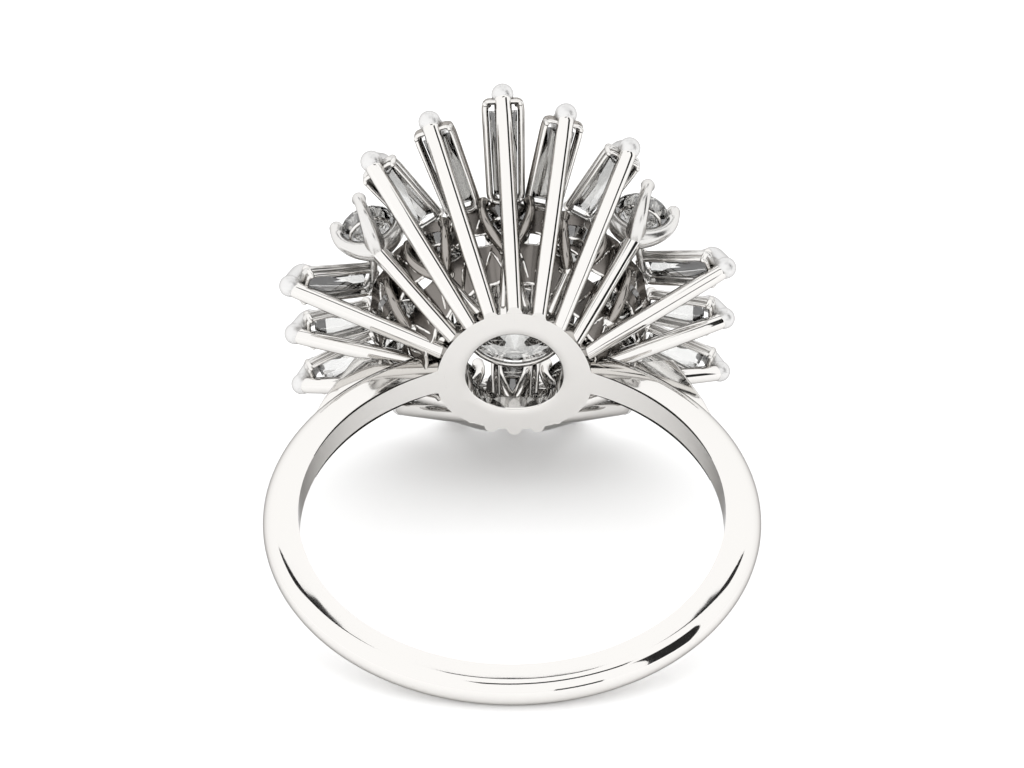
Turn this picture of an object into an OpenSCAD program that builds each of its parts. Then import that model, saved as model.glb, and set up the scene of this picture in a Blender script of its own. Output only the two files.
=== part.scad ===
/* [Shank] */
// Inner diameter of the finger hole
finger_d = 17; // [15:0.5:20]
// Width of the shank along the finger
band_w = 1.2; // [1.1:0.05:1.6]
// Thickness of the shank at the back, across from the head
band_t = 1.3; // [1.2:0.05:1.5]
// How much thicker the shank gets from the back to its sides
band_growth = 0.15; // [0.05:0.05:0.3]

/* [Base plate] */
// Diameter of the window in the base plate
window_d = 4.2; // [3.6:0.1:4.4]
// Diameter of the base plate
plate_d = 6.6; // [6.2:0.1:7]
// Thickness of the base plate on the head's axis
plate_t = 0.8; // [0.6:0.1:1]

/* [Long wires] */
// Diameter of the 20 long wires
wire_d = 0.88; // [0.8:0.02:0.92]
// Diameter of the ball at each wire's elbow
elbow_d = 0.92; // [0.92:0.02:1]
// Diameter of the ball at each claw's end
claw_d = 0.76; // [0.7:0.02:0.8]

/* [Baguettes] */
// Width of a baguette at its outer end
baguette_outer_w = 1.2; // [1.1:0.05:1.3]
// Width of a baguette at its inner end
baguette_inner_w = 1.0; // [0.9:0.05:1.1]
// Depth of a baguette from table to keel
baguette_depth = 1; // [0.85:0.05:1]

/* [Round stones] */
// Diameter of the 4 round stones of the outer row
outer_round_d = 2.3; // [2.1:0.05:2.4]
// Diameter of the 10 round stones of the inner row
inner_round_d = 2.4; // [2.2:0.05:2.45]
// Diameter of the centre stone
centre_d = 5.2; // [5:0.05:5.3]

/* [Hidden] */
// The head frame: z runs from the finger hole's centre to the head, the finger runs along y, and an angle phi
// goes round the head from the side that ends up highest (phi = 0) towards +x.
finger_r = finger_d / 2;
overcut = 1;
ring_sides = 160;
hole_sides = 96;
edge_sides = 40;
rod_sides = 32;
band_r = finger_r + band_t + band_growth;
wire_r = wire_d / 2;
elbow_r = elbow_d / 2;
// A ball where rods meet is this much thicker than they are
swell = 1.05;
claw_r = claw_d / 2;
window_r = window_d / 2;

// Each step of 18 degrees has one long wire. Heights and radii are from the finger hole's centre and the
// head's axis. A seat is where a stone's girdle starts: the inner end of a baguette, or a round stone's middle.
STEP_ANGLE = 18;
TIP_R = 0;
TIP_Z = 1;
SEAT_R = 2;
SEAT_Z = 3;
STONE = 4;
// wire's tip radius, wire's tip height, seat radius, seat height, kind of stone
STEPS = [
    [9.25, 15.6, 5.7, 13.5, "baguette"],
    [9.25, 14.5, 5.6, 13.5, "baguette"],
    [9.20, 13.7, 5.7, 13.6, "baguette"],
    [6.90, 12.4, 7.3, 13.7, "round"],
    [9.60, 11.1, 6.5, 12.9, "baguette"],
    [9.20, 11.4, 6.4, 12.7, "baguette"],
    [9.60, 11.4, 6.5, 12.9, "baguette"],
    [6.90, 12.4, 7.3, 13.7, "round"],
    [8.70, 14.0, 5.7, 13.6, "baguette"],
    [9.40, 15.6, 5.7, 13.8, "baguette"],
    [8.90, 15.5, 5.6, 13.8, "baguette"],
];
LOWEST_STEP = 9;
ALL_STEPS = [-9 : 10];

function step_row(i) = STEPS[abs(i)];
function is_round(i) = step_row(i)[STONE] == "round";
BAGUETTES = [for (i = ALL_STEPS) if (!is_round(i)) i];
ROUNDS = [for (i = ALL_STEPS) if (is_round(i)) i];

// Hand work left the crown a little turned, leaning and off to one side. The turn fades out towards the low
// side, the lean fades out past the two sides, and the highest wire is turned the least.
crown_turn = -2.8;
high_turn = -1.2;
crown_lean = 2.2;
lean_fade = 1.45;
crown_shift = -0.12;

function turned(phi) = phi == 0 ? high_turn : phi + crown_turn * (1 + cos(phi)) / 2;
function lean_at(phi) = crown_lean * min(1, lean_fade * (1 + cos(phi)));
function leaned(p, angle) = [
    p[0] * cos(angle) - (p[2] - finger_r) * sin(angle) + crown_shift,
    p[1],
    finger_r + p[0] * sin(angle) + (p[2] - finger_r) * cos(angle)
];
function at_angle(phi, r, z) = [r * sin(phi), -r * cos(phi), z];
function crown_point(phi, r, z) = leaned(at_angle(turned(phi), r, z), lean_at(phi));
function tip(i) = crown_point(i * STEP_ANGLE, step_row(i)[TIP_R], step_row(i)[TIP_Z]);

// The shoulder's outline on the +x side: x and z of each corner
SHOULDER = [[8.3, 5.3], [7.95, 6.4], [6.8, 9.0], [3.0, 8.6], [5.0, 7.6]];
shoulder_w = 0.9;

// The feet of the wires stand round the base plate on a slight oval
foot_side_r = 3.1;
foot_top_r = 3.35;
foot_z = finger_r + 0.2;
function foot(phi, share = 1) =
    at_angle(phi, share * (foot_side_r + (foot_top_r - foot_side_r) * abs(cos(phi))), foot_z);

// A baguette's seat: its own frame has x outwards along the stone, z up through its table
girdle_h = 0.12;
crown_h = 0.32;
table_in = 0.26;
step_in = 0.11;
step_z = 0.22;
keel_w = 0.06;
keel_l = 0.1;
keel_in = 0.45;
keel_rise = 0.06;
flat = 0.02;
stone_gap = 0.05;
frame_wall = 0.2;
frame_h = 0.54;
rail_h = 0.19;
rail_groove = 0.07;
corner_claw_r = 0.2;
corner_claw_out = 0.18;
corner_claw_z = 0.1;
// The seat's line passes above the wire's tip by this much, and the stone ends short of it
seat_rise = 0.35;
tip_clearance = 0.95;
claw_in = 0.7;
claw_up = 0.64;

function seat_dr(i) = step_row(i)[TIP_R] - step_row(i)[SEAT_R];
function seat_dz(i) = step_row(i)[TIP_Z] + seat_rise - step_row(i)[SEAT_Z];
function seat_slope(i) = atan2(seat_dz(i), seat_dr(i));
function seat_run(i) = norm([seat_dz(i), seat_dr(i)]);
function baguette_l(i) = seat_run(i) - tip_clearance;
function seat_point(i, x, z) = crown_point(
    i * STEP_ANGLE,
    step_row(i)[SEAT_R] + x * cos(seat_slope(i)) - z * sin(seat_slope(i)),
    step_row(i)[SEAT_Z] + x * sin(seat_slope(i)) + z * cos(seat_slope(i))
);

// Tiers of a round stone from its table to its culet
TIER_Z = 0;
TIER_R = 1;
TIER_SIDES = 2;
TIER_TURN = 3;
// height as a share of the diameter, radius as a share of the girdle's, sides, turn
ROUND_CUT = [
    [0.165, 0.57, 8, 22.5],
    [0.0975, 0.84, 8, 0],
    [0.015, 1, 16, 0],
    [-0.015, 1, 16, 0],
    [-0.36, 0.24, 8, 0],
    [-0.445, 0.03, 8, 0],
];
tier_h = 0.01;
culet_part = 0.445;
prong_r = 0.2;
prong_ball_r = 0.27;
prong_out = 0.25;
prong_bend_z = -0.55;
prong_end_z = 0.15;
prong_ball_out = 0.17;
prong_ball_z = 0.36;
fork_lean = 20;
fork_root_z = -culet_part * outer_round_d - 0.48;
fork_root_r = 0.38;
link_r = 0.17;
// Prong angles round a stone, from its outer side. The inner ring's inner prongs stand close together.
FORK_ANGLES = [45, 135, 225, 315];
BASKET_ANGLES = [45, 150, 210, 315];

INNER_COUNT = 10;
inner_ring_r = 4.68;
inner_z = 12;
inner_wave = 0.78;
inner_lean = 8;
inner_leg_r = 0.25;
inner_leg_spread = 9;
inner_leg_share = 0.9;
inner_root_z = -culet_part * inner_round_d - 0.46;
inner_root_r = 0.28;
centre_z = 12.3;
centre_prongs = 10;
centre_prong_r = 0.235;
centre_foot_r = 2.6;
centre_prong_out = 0.34;
centre_prong_end_z = 0.4;
centre_ball_out = 0.16;
centre_ball_z = 0.5;
centre_ball_r = 0.33;

function inner_angle(k) = 36 * k;
function inner_stone_z(k) = inner_z + inner_wave * cos(2 * inner_angle(k));

// The rest pose: the back edge of the shank and the two lowest claws touch the surface
edge_r = band_w / 2;
back_z = -(finger_r + band_t - edge_r);
function tilt_onto(p) = asin((elbow_r - edge_r) / norm([p[2] - back_z, p[1]])) + atan2(p[1], p[2] - back_z);
tilt = max(tilt_onto(tip(LOWEST_STEP)), tilt_onto(tip(-LOWEST_STEP)));
function rest_reach(p, r) = p[1] * sin(tilt) + p[2] * cos(tilt) + r;
rest_h = edge_r - back_z * sin(tilt);
far_y = max([
    for (i = BAGUETTES)
        max(rest_reach(tip(i), elbow_r), rest_reach(seat_point(i, seat_run(i) - claw_in, claw_up), claw_r))
]);
near_y = back_z * cos(tilt) - edge_r;
rest_y = -(far_y + near_y) / 2;

function numbered(name, list) = [for (j = [0 : len(list) - 1]) str(name, "_", j + 1)];
INNERS = [for (k = [0 : INNER_COUNT - 1]) k];
BAGUETTE_NAMES = numbered("baguette", BAGUETTES);
ROUND_NAMES = numbered("outer_round", ROUNDS);
INNER_NAMES = numbered("inner_round", INNERS);

metal = [0.84, 0.84, 0.85];
diamond = [0.80, 0.86, 0.88];

module at_rest() {
    translate([0, rest_y, rest_h]) rotate([tilt - 90, 0, 0]) children();
}

// Turns children so that their x axis points outwards at the angle phi, in the leaning crown
module in_crown(phi) {
    translate([crown_shift, 0, finger_r])
        rotate([0, -lean_at(phi), 0])
            translate([0, 0, -finger_r])
                rotate([0, 0, turned(phi) - 90])
                    children();
}

module rod(p, q, r1, r2) {
    run = q - p;
    translate(p)
        rotate([0, acos(run[2] / norm(run)), atan2(run[1], run[0])])
            cylinder(h = norm(run), r1 = r1, r2 = r2, $fn = rod_sides);
}

module ball(p, r) {
    translate(p) sphere(r = r, $fn = rod_sides);
}

module shank_body() {
    translate([0, 0, band_growth])
        rotate([90, 0, 0])
            rotate_extrude($fn = ring_sides)
                union() {
                    translate([finger_r - overcut, -band_w / 2])
                        square([band_r - band_w / 2 - finger_r + overcut, band_w]);
                    translate([band_r - band_w / 2, 0]) circle(d = band_w, $fn = edge_sides);
                }
}

// The shoulder rises from the shank to the side wire and ends in a slanted face
module shoulder(side) {
    rotate([90, 0, 0])
        translate([0, 0, -shoulder_w / 2])
            linear_extrude(height = shoulder_w)
                polygon([for (p = SHOULDER) [side * p[0], p[1]]]);
}

module base_plate() {
    translate([0, 0, finger_r - overcut]) cylinder(h = overcut + plate_t, d = plate_d, $fn = hole_sides);
}

module long_wire(i) {
    rod(foot(i * STEP_ANGLE), tip(i), wire_r, wire_r);
    ball(foot(i * STEP_ANGLE), swell * wire_r);
    if (!is_round(i)) {
        ball(tip(i), elbow_r);
    }
}

// Children are drawn in the frame of a baguette's seat
module baguette_seat(i) {
    in_crown(i * STEP_ANGLE)
        translate([step_row(i)[SEAT_R], 0, step_row(i)[SEAT_Z]])
            rotate([0, -seat_slope(i), 0])
                children();
}

module baguette_outline(l, grow) {
    wi = baguette_inner_w / 2 + grow;
    wo = baguette_outer_w / 2 + grow;
    polygon([[-grow, -wi], [l + grow, -wo], [l + grow, wo], [-grow, wi]]);
}

module rail(l, z, h, wall) {
    translate([0, 0, z])
        linear_extrude(height = h)
            difference() {
                baguette_outline(l, stone_gap + wall);
                baguette_outline(l, stone_gap);
            }
}

// Two rails, one above the other, run round the stone, with a claw at each corner and one at the outer end
module baguette_frame(i) {
    l = baguette_l(i);
    baguette_seat(i) {
        rail(l, -frame_h, rail_h, frame_wall);
        rail(l, -frame_h, frame_h, frame_wall - rail_groove);
        rail(l, -rail_h, rail_h, frame_wall);
        for (s = [-1, 1]) {
            ball([l + corner_claw_out, s * (baguette_outer_w / 2 + corner_claw_out), corner_claw_z], corner_claw_r);
            ball([-corner_claw_out, s * (baguette_inner_w / 2 + corner_claw_out), corner_claw_z], corner_claw_r);
        }
        rod(
            [seat_run(i) - seat_rise * sin(seat_slope(i)), 0, -seat_rise * cos(seat_slope(i))],
            [seat_run(i) - claw_in, 0, claw_up],
            wire_r, claw_r / swell
        );
        ball([seat_run(i) - claw_in, 0, claw_up], claw_r);
    }
}

// A tapered step cut: the keel runs up towards the outer end, clear of the wire below it
module baguette(i) {
    l = baguette_l(i);
    baguette_seat(i) hull() {
        linear_extrude(height = girdle_h) baguette_outline(l, 0);
        translate([0, 0, crown_h - flat]) linear_extrude(height = flat) baguette_outline(l, -table_in);
        translate([0, 0, step_z]) linear_extrude(height = flat) baguette_outline(l, -step_in);
        translate([keel_in, -keel_w / 2, crown_h - baguette_depth]) cube([keel_l, keel_w, flat]);
        translate([l - keel_in, -keel_w / 2, -keel_rise]) cube([keel_l, keel_w, flat]);
    }
}

// Children are drawn in the frame of a round stone: the origin is in the middle of its girdle
module outer_round_seat(i) {
    in_crown(i * STEP_ANGLE)
        translate([step_row(i)[SEAT_R], 0, step_row(i)[SEAT_Z]])
            rotate([0, fork_lean, 0])
                children();
}

module inner_round_seat(k) {
    in_crown(inner_angle(k))
        translate([inner_ring_r, 0, inner_stone_z(k)])
            rotate([0, inner_lean, 0])
                children();
}

module round_stone(d) {
    hull()
        for (tier = ROUND_CUT)
            translate([0, 0, tier[TIER_Z] * d])
                rotate([0, 0, tier[TIER_TURN]])
                    cylinder(h = tier_h, r = tier[TIER_R] * d / 2, $fn = tier[TIER_SIDES]);
}

// Prongs rise from a root under the stone and bend up beside its girdle
module prong_basket(d, angles, root_z, root_r) {
    r = d / 2;
    bend = [r + prong_out, 0, prong_bend_z];
    for (a = angles) rotate([0, 0, a]) {
        rod([0, 0, root_z], bend, root_r, prong_r);
        rod(bend, [r + prong_out, 0, prong_end_z], prong_r, prong_r);
        ball(bend, swell * prong_r);
        ball([r + prong_ball_out, 0, prong_ball_z], prong_ball_r);
    }
    ball([0, 0, root_z], swell * root_r);
}

// The root of a fork swells out of the long wire that carries it
module fork(i) {
    outer_round_seat(i) prong_basket(outer_round_d, FORK_ANGLES, fork_root_z, fork_root_r);
}

// A short bent wire ties each fork to the frame beside it, on the side away from the high and low ends
module link(i) {
    beside = i - sign(i) * sign(abs(i) - 5);
    rod(tip(i), seat_point(beside, -stone_gap - frame_wall, -frame_h / 2), link_r, link_r);
}

module inner_leg(k, side) {
    rod(
        foot(inner_angle(k) + inner_leg_spread * side, inner_leg_share),
        crown_point(inner_angle(k), inner_ring_r + inner_root_z * sin(inner_lean), inner_stone_z(k) + inner_root_z),
        inner_leg_r, inner_leg_r
    );
}

module inner_basket(k) {
    inner_round_seat(k) prong_basket(inner_round_d, BASKET_ANGLES, inner_root_z, inner_root_r);
    inner_leg(k, -1);
    inner_leg(k, 1);
}

module centre_prong(j) {
    rotate([0, 0, j * 360 / centre_prongs]) {
        rod([centre_foot_r, 0, foot_z], [centre_d / 2 + centre_prong_out, 0, centre_z + centre_prong_end_z],
            centre_prong_r, centre_prong_r);
        ball([centre_d / 2 + centre_ball_out, 0, centre_z + centre_ball_z], centre_ball_r);
    }
}

module mounting() {
    color(metal) at_rest() difference() {
        union() {
            shank_body();
            shoulder(-1);
            shoulder(1);
            base_plate();
            for (i = ALL_STEPS) long_wire(i);
            for (i = BAGUETTES) baguette_frame(i);
            for (i = ROUNDS) fork(i);
            for (i = ROUNDS) link(i);
            for (k = INNERS) inner_basket(k);
            for (j = [1 : centre_prongs]) centre_prong(j);
        }
        rotate([90, 0, 0]) cylinder(h = 2 * finger_d, d = finger_d, center = true, $fn = ring_sides);
        cylinder(h = finger_r + plate_t + overcut, r = window_r, $fn = hole_sides);
    }
}

module centre_stone() {
    color(diamond) at_rest() translate([0, 0, centre_z]) round_stone(centre_d);
}

mounting();
centre_stone();
for (j = [0 : len(BAGUETTES) - 1])
    color(diamond) at_rest() baguette(BAGUETTES[j]);
for (j = [0 : len(ROUNDS) - 1])
    color(diamond) at_rest() outer_round_seat(ROUNDS[j]) round_stone(outer_round_d);
for (j = [0 : len(INNERS) - 1])
    color(diamond) at_rest() inner_round_seat(INNERS[j]) round_stone(inner_round_d);
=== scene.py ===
# %% [markdown]
# # Dressing a diamond cluster ring
# The ring was built as plain solids first. This lesson loads them as a fixed frame and gives them
# the looks of the real thing: drawn wires of polished white gold, cut diamonds, and a studio with
# white walls and a few black flags. Every length below is in millimetres, and each piece is
# brought to metres when it is finished.

# %% Load the frame
import math

import bmesh
import bpy
from mathutils import Matrix, Vector


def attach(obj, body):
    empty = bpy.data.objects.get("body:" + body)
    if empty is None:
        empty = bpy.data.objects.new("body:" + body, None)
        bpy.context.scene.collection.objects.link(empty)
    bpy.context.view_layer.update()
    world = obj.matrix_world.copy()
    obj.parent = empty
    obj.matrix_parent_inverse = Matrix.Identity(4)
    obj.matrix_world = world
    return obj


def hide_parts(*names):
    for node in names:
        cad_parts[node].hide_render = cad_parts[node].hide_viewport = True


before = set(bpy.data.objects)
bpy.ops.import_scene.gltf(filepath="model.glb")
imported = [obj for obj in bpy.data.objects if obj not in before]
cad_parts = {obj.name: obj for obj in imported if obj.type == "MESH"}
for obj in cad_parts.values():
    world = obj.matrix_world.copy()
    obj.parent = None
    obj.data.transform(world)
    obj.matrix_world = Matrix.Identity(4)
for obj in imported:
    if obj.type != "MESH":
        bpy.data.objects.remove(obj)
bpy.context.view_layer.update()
print("solids in the frame:", len(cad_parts))

# %% [markdown]
# A goldsmith works on a ring that stands upright, with its head on top, and so does this file: z
# runs from the middle of the finger hole to the head, and the finger runs along y. One matrix then
# lays the ring on its side, the way the solids already lie. Each piece could also be modelled
# where it lies, but working upright keeps every number readable.

# %% Upright ring to resting ring
MM = 0.001
TILT = math.radians(19.5318)
REST = Vector((0, -4.51576, 3.67584))
LAY_DOWN = (
    Matrix.Scale(MM, 4)
    @ Matrix.Translation(REST)
    @ Matrix.Rotation(TILT - math.pi / 2, 4, "X")
)


def turn(degrees, axis):
    return Matrix.Rotation(math.radians(degrees), 4, axis)


def shift(x, y, z):
    return Matrix.Translation((x, y, z))


head_way = (LAY_DOWN.to_3x3() @ Vector((0, 0, 1))) / MM
print("the head points to", [round(v, 3) for v in head_way])

# %% [markdown]
# The photograph was taken from close by, from behind the shank and above it, so the camera stands
# there too. Its place is given from the ring itself: so many millimetres from the middle of the
# finger hole, half way between the finger's line and the line that leads away from the head. It
# could be placed by eye, but a close camera makes near things larger, so its distance matters as
# much as its lens. Last it is aimed a little up, which moves the ring down in the picture.

# %% Camera
VIEW_TURN = math.radians(0.7)
VIEW_LIFT = math.radians(45)
VIEW_DISTANCE = 96.1
PICTURE_WIDTH = 1024
SENSOR_WIDTH = 36
FOCAL_PIXELS = 2400
AIM_PIXELS = 129.8
AIM_UP = math.atan2(AIM_PIXELS, FOCAL_PIXELS)
FINGER_MIDDLE = LAY_DOWN @ Vector((0, 0, 0))


def from_ring(x, y, z):
    """A direction given from the lying ring: x right, y to the head, z up out of the hole."""
    return (LAY_DOWN.to_3x3() @ Vector((x, -z, y))).normalized()


right = from_ring(math.cos(VIEW_TURN), math.sin(VIEW_TURN), 0)
back = from_ring(
    math.sin(VIEW_TURN) * math.cos(VIEW_LIFT),
    -math.cos(VIEW_TURN) * math.cos(VIEW_LIFT),
    math.sin(VIEW_LIFT),
)
up = back.cross(right)
place = FINGER_MIDDLE + back * VIEW_DISTANCE * MM
aimed_back = back * math.cos(AIM_UP) - up * math.sin(AIM_UP)
aimed_up = up * math.cos(AIM_UP) + back * math.sin(AIM_UP)

camera_data = bpy.data.cameras.new("camera")
camera_data.sensor_width = SENSOR_WIDTH
camera_data.lens = FOCAL_PIXELS / PICTURE_WIDTH * SENSOR_WIDTH
camera_data.clip_start = 0.005
camera_data.clip_end = 20
camera = bpy.data.objects.new("camera", camera_data)
camera.matrix_world = Matrix((
    (right.x, aimed_up.x, aimed_back.x, place.x),
    (right.y, aimed_up.y, aimed_back.y, place.y),
    (right.z, aimed_up.z, aimed_back.z, place.z),
    (0, 0, 0, 1),
))
bpy.context.scene.collection.objects.link(camera)
bpy.context.scene.camera = camera
print("camera at", [round(v / MM, 1) for v in place], "mm, lens", round(camera_data.lens, 1))

# %% [markdown]
# A surface is never the same all over. A noise that is tied to the object itself can vary its
# roughness from place to place. It could be painted as a picture, but a noise needs no unwrapping
# and stays sharp from close by. These three helpers start a material and bring a noise to it.


# %% Material helpers
def node_graph(name):
    made = bpy.data.materials.new(name)
    made.use_nodes = True
    nodes, links = made.node_tree.nodes, made.node_tree.links
    return made, nodes, links, nodes["Principled BSDF"]


def spread(nodes, links, source, low, high):
    """Brings a 0 to 1 pattern to the range from low to high."""
    ramp = nodes.new("ShaderNodeMapRange")
    ramp.inputs["To Min"].default_value = low
    ramp.inputs["To Max"].default_value = high
    links.new(source, ramp.inputs["Value"])
    return ramp.outputs["Result"]


def noise(nodes, links, scale, detail=2.0):
    where = nodes.new("ShaderNodeTexCoord")
    pattern = nodes.new("ShaderNodeTexNoise")
    pattern.inputs["Scale"].default_value = scale
    pattern.inputs["Detail"].default_value = detail
    links.new(where.outputs["Object"], pattern.inputs["Vector"])
    return pattern.outputs["Fac"]


print("helpers:", [helper.__name__ for helper in (node_graph, spread, noise)])

# %% [markdown]
# Polished white gold has almost no colour or roughness of its own. What makes it look real is what
# it mirrors, and how a hand polish bends the mirror. So its roughness follows a fine noise, and a
# faint bump in long soft waves wobbles the reflections. Its specular tint darkens the mirror where
# the surface turns away, which gives each bright wire a grey outline on a white ground.
#
# A buff can't reach everything. The outside is polished, the elbows keep a satin skin, and the
# forks and the rails are in between. The metal deep inside the crown gets two darker colours, which
# are painted shade. The last finish is a near-black colour for the thin line in a sharp inner edge,
# which is a painted reflection.

# %% White gold
GRAIN_SCALE = 700
WAVE_SCALE = 450
WAVE_HEIGHT = 0.00005
OUTLINE_TINT = (0.35, 0.345, 0.34)


def white_gold(name, colour, rough_low, rough_high, wave):
    made, nodes, links, shader = node_graph(name)
    shader.inputs["Base Color"].default_value = (*colour, 1)
    shader.inputs["Metallic"].default_value = 1
    shader.inputs["Specular Tint"].default_value = (*OUTLINE_TINT, 1)
    grain = noise(nodes, links, GRAIN_SCALE)
    links.new(spread(nodes, links, grain, rough_low, rough_high), shader.inputs["Roughness"])
    bump = nodes.new("ShaderNodeBump")
    bump.inputs["Strength"].default_value = wave
    bump.inputs["Distance"].default_value = WAVE_HEIGHT
    links.new(noise(nodes, links, WAVE_SCALE, 1.0), bump.inputs["Height"])
    links.new(bump.outputs["Normal"], shader.inputs["Normal"])
    return made


polished_gold = white_gold("polished_white_gold", (0.75, 0.735, 0.715), 0.03, 0.08, 0.25)
satin_gold = white_gold("satin_white_gold", (0.72, 0.715, 0.71), 0.32, 0.42, 0.15)
soft_gold = white_gold("soft_white_gold", (0.68, 0.67, 0.655), 0.16, 0.26, 0.2)
# painted shade: a darker colour for metal deep inside the crown
painted_shade_gold = white_gold("white_gold_painted_shade", (0.34, 0.32, 0.3), 0.08, 0.22, 0.3)
# painted shade: the darkest colour, for walls and sheets deep inside the crown
shaded_gold = white_gold("shaded_white_gold", (0.2, 0.185, 0.172), 0.15, 0.35, 0.3)
# painted reflection: a near-black colour for the dark line in the shank's inner edge
painted_reflection_gold = white_gold("white_gold_painted_dark_reflection", (0.03, 0.028, 0.026), 0.4, 0.5, 0.1)
for finish in (polished_gold, satin_gold, soft_gold, painted_shade_gold, shaded_gold, painted_reflection_gold):
    print("finish:", finish.name)

# %% [markdown]
# Diamond bends light more than any other clear stone, so it needs its own index of refraction,
# 2.42, and an almost perfectly smooth surface. Its facets then catch white and dark by themselves.
# A real setting hides some stones deep in the metal and leaves others in the open. The light that
# gets lost there is painted into the colour: three shades of the same clear grey, a darker one that
# is painted shade and a lighter one that is painted light.


# %% Diamond
DIAMOND_IOR = 2.42
HAZE_SCALE, MOST_HAZE = 900, 0.012


def clear_stone(name, colour):
    made, nodes, links, shader = node_graph(name)
    shader.inputs["Base Color"].default_value = (*colour, 1)
    shader.inputs["Transmission Weight"].default_value = 1
    shader.inputs["IOR"].default_value = DIAMOND_IOR
    haze = spread(nodes, links, noise(nodes, links, HAZE_SCALE), 0.0, MOST_HAZE)
    links.new(haze, shader.inputs["Roughness"])
    return made


diamond = clear_stone("diamond", (0.6, 0.6, 0.59))
# painted shade: a darker grey for stones over dark metal
diamond_painted_shade = clear_stone("diamond_painted_shade", (0.38, 0.375, 0.36))
# painted light: a lighter grey for stones with open air behind them
diamond_painted_light = clear_stone("diamond_painted_light", (0.86, 0.86, 0.85))
print("finishes:", diamond.name, diamond_painted_shade.name, diamond_painted_light.name)

# %% [markdown]
# The crown is hand made, so it is a little turned, leaning and off to one side. A seat's place is
# therefore given twice: as a radius and a height in a perfect crown, and then through the same
# small errors as on the real ring. The table has one row for each wire, counted from the highest
# one down to the lowest on either side. A stone or a wire that is moved here takes its whole seat
# with it.

# %% Crown table
FINGER_R = 8.5
STEP_ANGLE = 18
# wire's tip radius, wire's tip height, seat radius, seat height, kind of stone
STEPS = [
    (9.25, 15.6, 5.7, 13.5, "baguette"),
    (9.25, 14.5, 5.6, 13.5, "baguette"),
    (9.20, 13.7, 5.7, 13.6, "baguette"),
    (6.90, 12.4, 7.3, 13.7, "round"),
    (9.60, 11.1, 6.5, 12.9, "baguette"),
    (9.20, 11.4, 6.4, 12.7, "baguette"),
    (9.60, 11.4, 6.5, 12.9, "baguette"),
    (6.90, 12.4, 7.3, 13.7, "round"),
    (8.70, 14.0, 5.7, 13.6, "baguette"),
    (9.40, 15.6, 5.7, 13.8, "baguette"),
    (8.90, 15.5, 5.6, 13.8, "baguette"),
]
ALL_STEPS = range(-9, 11)
ROUND_STEPS = [i for i in ALL_STEPS if STEPS[abs(i)][4] == "round"]
BAGUETTE_STEPS = [i for i in ALL_STEPS if STEPS[abs(i)][4] == "baguette"]
HIGH_STEPS = [i for i in BAGUETTE_STEPS if abs(i) < 2]
SIDE_STEPS = [i for i in BAGUETTE_STEPS if 3 < abs(i) < 7]
print(len(BAGUETTE_STEPS), "baguettes and", len(ROUND_STEPS), "round stones in the outer row")

# %% [markdown]
# These helpers turn a row of the table into a place on the ring. The turn and the lean fade out
# towards the lowest wire, because that side of the real crown stands true. The feet of the wires
# stand on an oval, which is a little longer along the finger than across it.

# %% Places on the crown
CROWN_TURN, FIRST_TURN = 2.8, -1.2
CROWN_LEAN, LEAN_FADE = 2.2, 2.9
CROWN_OFF = -0.12
FOOT_R, FOOT_SWELL, FOOT_RISE = 3.1, 0.25, 0.2


def crown(phi):
    """The leaning crown at the angle phi, with x pointing outwards."""
    fade = (1 + math.cos(math.radians(phi))) / 2
    turned = FIRST_TURN if phi == 0 else phi - CROWN_TURN * fade
    lean = CROWN_LEAN * min(1, LEAN_FADE * fade)
    leaned = turn(-lean, "Y") @ shift(0, 0, -FINGER_R) @ turn(turned - 90, "Z")
    return shift(CROWN_OFF, 0, FINGER_R) @ leaned


def in_crown(phi, radius, height):
    return crown(phi) @ Vector((radius, 0, height))


def foot(phi, share=1.0):
    radius = share * (FOOT_R + FOOT_SWELL * abs(math.cos(math.radians(phi))))
    return turn(phi - 90, "Z") @ Vector((radius, 0, FINGER_R + FOOT_RISE))


def tip(i):
    return in_crown(i * STEP_ANGLE, STEPS[abs(i)][0], STEPS[abs(i)][1])


print("the highest wire's tip is at", [round(v, 2) for v in tip(0)], "on the upright ring")

# %% [markdown]
# Every new piece ends the same way. It is laid down with the ring, its faces get smooth shading
# with sharp edges kept, it gets its finish, it is parented to the ring's body, and the solid that
# it stands for is hidden. The shape goes into the mesh itself, so the object stays at the origin,
# as the solids do.


# %% Settle a piece
def settle(bm, name, finish, stands_for, crease=35):
    bmesh.ops.recalc_face_normals(bm, faces=bm.faces[:])
    bmesh.ops.transform(bm, matrix=LAY_DOWN, verts=bm.verts[:])
    mesh = bpy.data.meshes.new(name)
    bm.to_mesh(mesh)
    bm.free()
    mesh.shade_smooth()
    mesh.set_sharp_from_angle(angle=math.radians(crease))
    mesh.materials.append(finish)
    piece = bpy.data.objects.new(name, mesh)
    bpy.context.scene.collection.objects.link(piece)
    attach(piece, "root")
    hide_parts(*stands_for)
    return piece


def settle_metal(bm, name, finish, crease=35):
    print(f"{name}: {len(bm.faces)} faces")
    return settle(bm, name, finish, ["mounting"], crease)


print("pieces settle at the ring's resting place", [round(v, 2) for v in REST])

# %% [markdown]
# A stone cutter grinds one flat facet at a time on a turning stone. The same is done here: a rough
# is cut by one plane after another, and each cut is closed with a new face. Typing in the corners
# of a stone would give the same shape, but no reader could check them. A plane is given by a point
# that it passes through and the direction that it faces.


# %% Grind a facet
def grind(bm, through, outward):
    everything = bm.verts[:] + bm.edges[:] + bm.faces[:]
    cut = bmesh.ops.bisect_plane(
        bm, geom=everything, dist=1e-5, plane_co=through, plane_no=outward, clear_outer=True
    )
    rim = [g for g in cut["geom_cut"] if isinstance(g, bmesh.types.BMEdge)]
    if len(rim) > 2:
        bmesh.ops.edgenet_fill(bm, edges=rim)


def tilted(around, slope):
    """The outward direction of a facet: slope 0 is a table, 90 a girdle, and 180 a culet."""
    return turn(around, "Z") @ turn(slope, "Y") @ Vector((0, 0, 1))


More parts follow.
